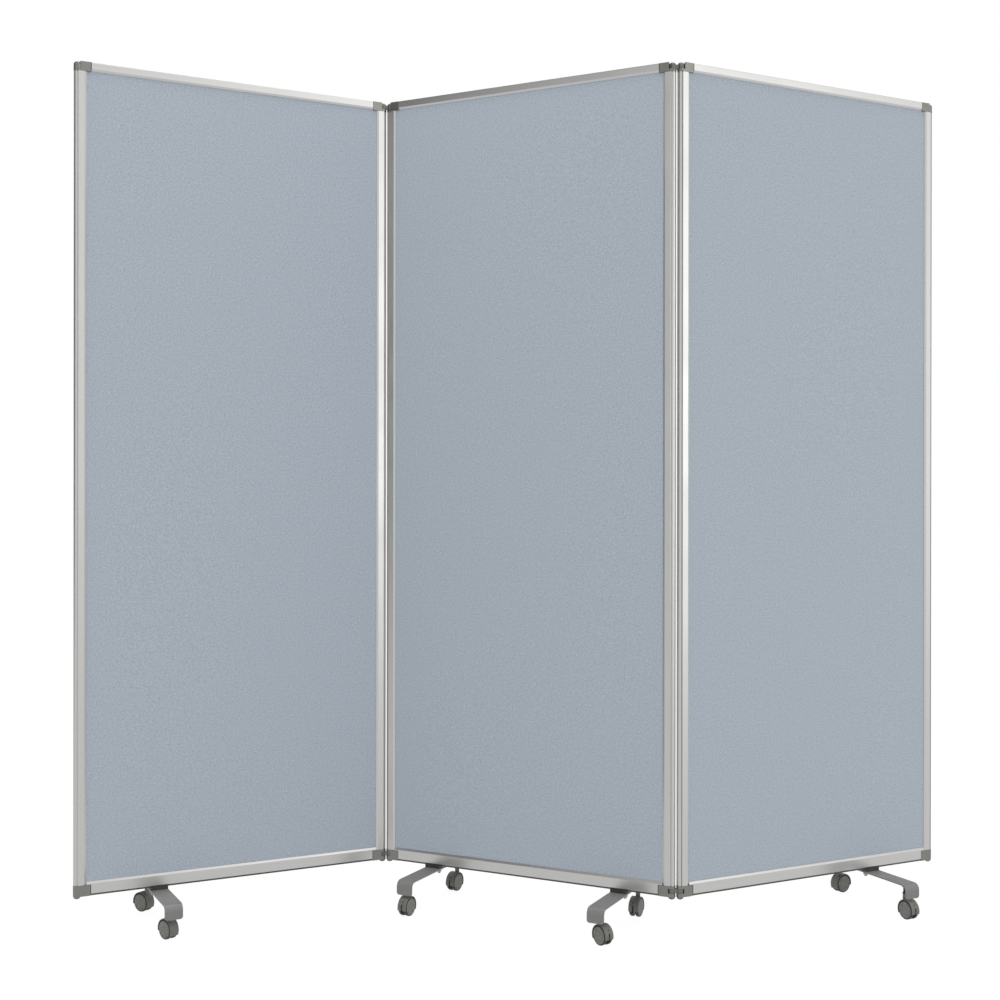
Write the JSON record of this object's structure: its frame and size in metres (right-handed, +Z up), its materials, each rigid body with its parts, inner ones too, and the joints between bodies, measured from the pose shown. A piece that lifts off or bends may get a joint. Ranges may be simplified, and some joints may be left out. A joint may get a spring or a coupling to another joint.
{
  "type": "ward privacy screen on wheels",
  "caption": "Folding ward privacy screen: grey fabric panels in aluminium frames, hinged at their edges, on strap feet with twin-wheel casters",
  "frame": {"origin": "middle of the base of the bounding box, on the floor", "axes": "+X right along the screen, +Y away from the front, +Z up"},
  "size_m": [1.8616, 0.4562, 1.8],
  "materials": {
    "screen_fabric": "woven",
    "frame_aluminium": "satin anodised",
    "corner_plastic": "fine grain",
    "hinge_plastic": "fine grain",
    "strap_paint": "satin powder coat",
    "bolt_steel": "zinc plated",
    "hood_plastic": "semi gloss",
    "wheel_plastic": "moulded"
  },
  "bodies": {
    "middle_panel": {"middle_fabric_board": "screen_fabric", "middle_rail_top": "frame_aluminium", "middle_rail_bottom": "frame_aluminium", "middle_stile_left": "frame_aluminium", "middle_corner_top_left": "corner_plastic", "middle_corner_bottom_left": "corner_plastic", "middle_stile_right": "frame_aluminium", "middle_corner_top_right": "corner_plastic", "middle_corner_bottom_right": "corner_plastic", "middle_left_foot_strap": "strap_paint", "middle_left_foot_saddle": "corner_plastic", "middle_left_foot_bolts": "bolt_steel", "middle_right_foot_strap": "strap_paint", "middle_right_foot_saddle": "corner_plastic", "middle_right_foot_bolts": "bolt_steel"},
    "left_hinge": {"left_hinge_link_top": "hinge_plastic", "left_hinge_link_bottom": "hinge_plastic"},
    "left_panel": {"left_fabric_board": "screen_fabric", "left_rail_top": "frame_aluminium", "left_rail_bottom": "frame_aluminium", "left_stile_left": "frame_aluminium", "left_corner_top_left": "corner_plastic", "left_corner_bottom_left": "corner_plastic", "left_stile_right": "frame_aluminium", "left_corner_top_right": "corner_plastic", "left_corner_bottom_right": "corner_plastic", "left_foot_strap": "strap_paint", "left_foot_saddle": "corner_plastic", "left_foot_bolts": "bolt_steel"},
    "right_hinge": {"right_hinge_link_top": "hinge_plastic", "right_hinge_link_bottom": "hinge_plastic"},
    "right_panel": {"right_fabric_board": "screen_fabric", "right_rail_top": "frame_aluminium", "right_rail_bottom": "frame_aluminium", "right_stile_left": "frame_aluminium", "right_corner_top_left": "corner_plastic", "right_corner_bottom_left": "corner_plastic", "right_stile_right": "frame_aluminium", "right_corner_top_right": "corner_plastic", "right_corner_bottom_right": "corner_plastic", "right_foot_strap": "strap_paint", "right_foot_saddle": "corner_plastic", "right_foot_bolts": "bolt_steel"},
    "left_front_caster": {"left_front_caster_hood": "hood_plastic"},
    "left_front_caster_wheels": {"left_front_caster_wheels": "wheel_plastic"},
    "left_back_caster": {"left_back_caster_hood": "hood_plastic"},
    "left_back_caster_wheels": {"left_back_caster_wheels": "wheel_plastic"},
    "middle_left_front_caster": {"middle_left_front_caster_hood": "hood_plastic"},
    "middle_left_front_caster_wheels": {"middle_left_front_caster_wheels": "wheel_plastic"},
    "middle_left_back_caster": {"middle_left_back_caster_hood": "hood_plastic"},
    "middle_left_back_caster_wheels": {"middle_left_back_caster_wheels": "wheel_plastic"},
    "middle_right_front_caster": {"middle_right_front_caster_hood": "hood_plastic"},
    "middle_right_front_caster_wheels": {"middle_right_front_caster_wheels": "wheel_plastic"},
    "middle_right_back_caster": {"middle_right_back_caster_hood": "hood_plastic"},
    "middle_right_back_caster_wheels": {"middle_right_back_caster_wheels": "wheel_plastic"},
    "right_front_caster": {"right_front_caster_hood": "hood_plastic"},
    "right_front_caster_wheels": {"right_front_caster_wheels": "wheel_plastic"},
    "right_back_caster": {"right_back_caster_hood": "hood_plastic"},
    "right_back_caster_wheels": {"right_back_caster_wheels": "wheel_plastic"}
  },
  "joints": [
    {"name": "left_hinge_inner_pin", "type": "hinge", "parent": "middle_panel", "child": "left_hinge", "pos_m": [-0.30187, 0.15367, 0.9], "axis": [0, 0, 1], "range_deg": [-56.7, 63.3]},
    {"name": "left_hinge_outer_pin", "type": "hinge", "parent": "left_hinge", "child": "left_panel", "pos_m": [-0.31917, 0.15367, 0.9], "axis": [0, 0, 1], "range_deg": [-56.7, 63.3]},
    {"name": "right_hinge_inner_pin", "type": "hinge", "parent": "middle_panel", "child": "right_hinge", "pos_m": [0.30187, -0.14998, 0.9], "axis": [0, 0, 1], "range_deg": [-56.7, 63.3]},
    {"name": "right_hinge_outer_pin", "type": "hinge", "parent": "right_hinge", "child": "right_panel", "pos_m": [0.31917, -0.14998, 0.9], "axis": [0, 0, 1], "range_deg": [-56.7, 63.3]},
    {"name": "left_front_caster_swivel", "type": "hinge", "parent": "left_panel", "child": "left_front_caster", "pos_m": [-0.72349, -0.1717, 0.05], "axis": [0, 0, 1], "continuous": true},
    {"name": "left_front_caster_axle", "type": "hinge", "parent": "left_front_caster", "child": "left_front_caster_wheels", "pos_m": [-0.73129, -0.16467, 0.02], "axis": [-0.6691, -0.7431, 0], "continuous": true},
    {"name": "left_back_caster_swivel", "type": "hinge", "parent": "left_panel", "child": "left_back_caster", "pos_m": [-0.82144, 0.02306, 0.05], "axis": [0, 0, 1], "continuous": true},
    {"name": "left_back_caster_axle", "type": "hinge", "parent": "left_back_caster", "child": "left_back_caster_wheels", "pos_m": [-0.83025, 0.02878, 0.02], "axis": [-0.5446, -0.8387, 0], "continuous": true},
    {"name": "middle_left_front_caster_swivel", "type": "hinge", "parent": "middle_panel", "child": "middle_left_front_caster", "pos_m": [-0.24775, 0.00444, 0.05], "axis": [0, 0, 1], "continuous": true},
    {"name": "middle_left_front_caster_axle", "type": "hinge", "parent": "middle_left_front_caster", "child": "middle_left_front_caster_wheels", "pos_m": [-0.25268, -0.00483, 0.02], "axis": [0.8829, -0.4695, 0], "continuous": true},
    {"name": "middle_left_back_caster_swivel", "type": "hinge", "parent": "middle_panel", "child": "middle_left_back_caster", "pos_m": [-0.1498, 0.19919, 0.05], "axis": [0, 0, 1], "continuous": true},
    {"name": "middle_left_back_caster_axle", "type": "hinge", "parent": "middle_left_back_caster", "child": "middle_left_back_caster_wheels", "pos_m": [-0.15521, 0.19019, 0.02], "axis": [0.8572, -0.515, 0], "continuous": true},
    {"name": "middle_right_front_caster_swivel", "type": "hinge", "parent": "middle_panel", "child": "middle_right_front_caster", "pos_m": [0.1498, -0.19551, 0.05], "axis": [0, 0, 1], "continuous": true},
    {"name": "middle_right_front_caster_axle", "type": "hinge", "parent": "middle_right_front_caster", "child": "middle_right_front_caster_wheels", "pos_m": [0.15575, -0.20416, 0.02], "axis": [0.8241, 0.5664, 0], "continuous": true},
    {"name": "middle_right_back_caster_swivel", "type": "hinge", "parent": "middle_panel", "child": "middle_right_back_caster", "pos_m": [0.24775, -0.00076, 0.05], "axis": [0, 0, 1], "continuous": true},
    {"name": "middle_right_back_caster_axle", "type": "hinge", "parent": "middle_right_back_caster", "child": "middle_right_back_caster_wheels", "pos_m": [0.24315, -0.01019, 0.02], "axis": [0.8988, -0.4384, 0], "continuous": true},
    {"name": "right_front_caster_swivel", "type": "hinge", "parent": "right_panel", "child": "right_front_caster", "pos_m": [0.82144, -0.01938, 0.05], "axis": [0, 0, 1], "continuous": true},
    {"name": "right_front_caster_axle", "type": "hinge", "parent": "right_front_caster", "child": "right_front_caster_wheels", "pos_m": [0.82616, -0.02876, 0.02], "axis": [0.8934, 0.4493, 0], "continuous": true},
    {"name": "right_back_caster_swivel", "type": "hinge", "parent": "right_panel", "child": "right_back_caster", "pos_m": [0.72349, 0.17538, 0.05], "axis": [0, 0, 1], "continuous": true},
    {"name": "right_back_caster_axle", "type": "hinge", "parent": "right_back_caster", "child": "right_back_caster_wheels", "pos_m": [0.7324, 0.18094, 0.02], "axis": [-0.5299, 0.848, 0], "continuous": true}
  ]
}
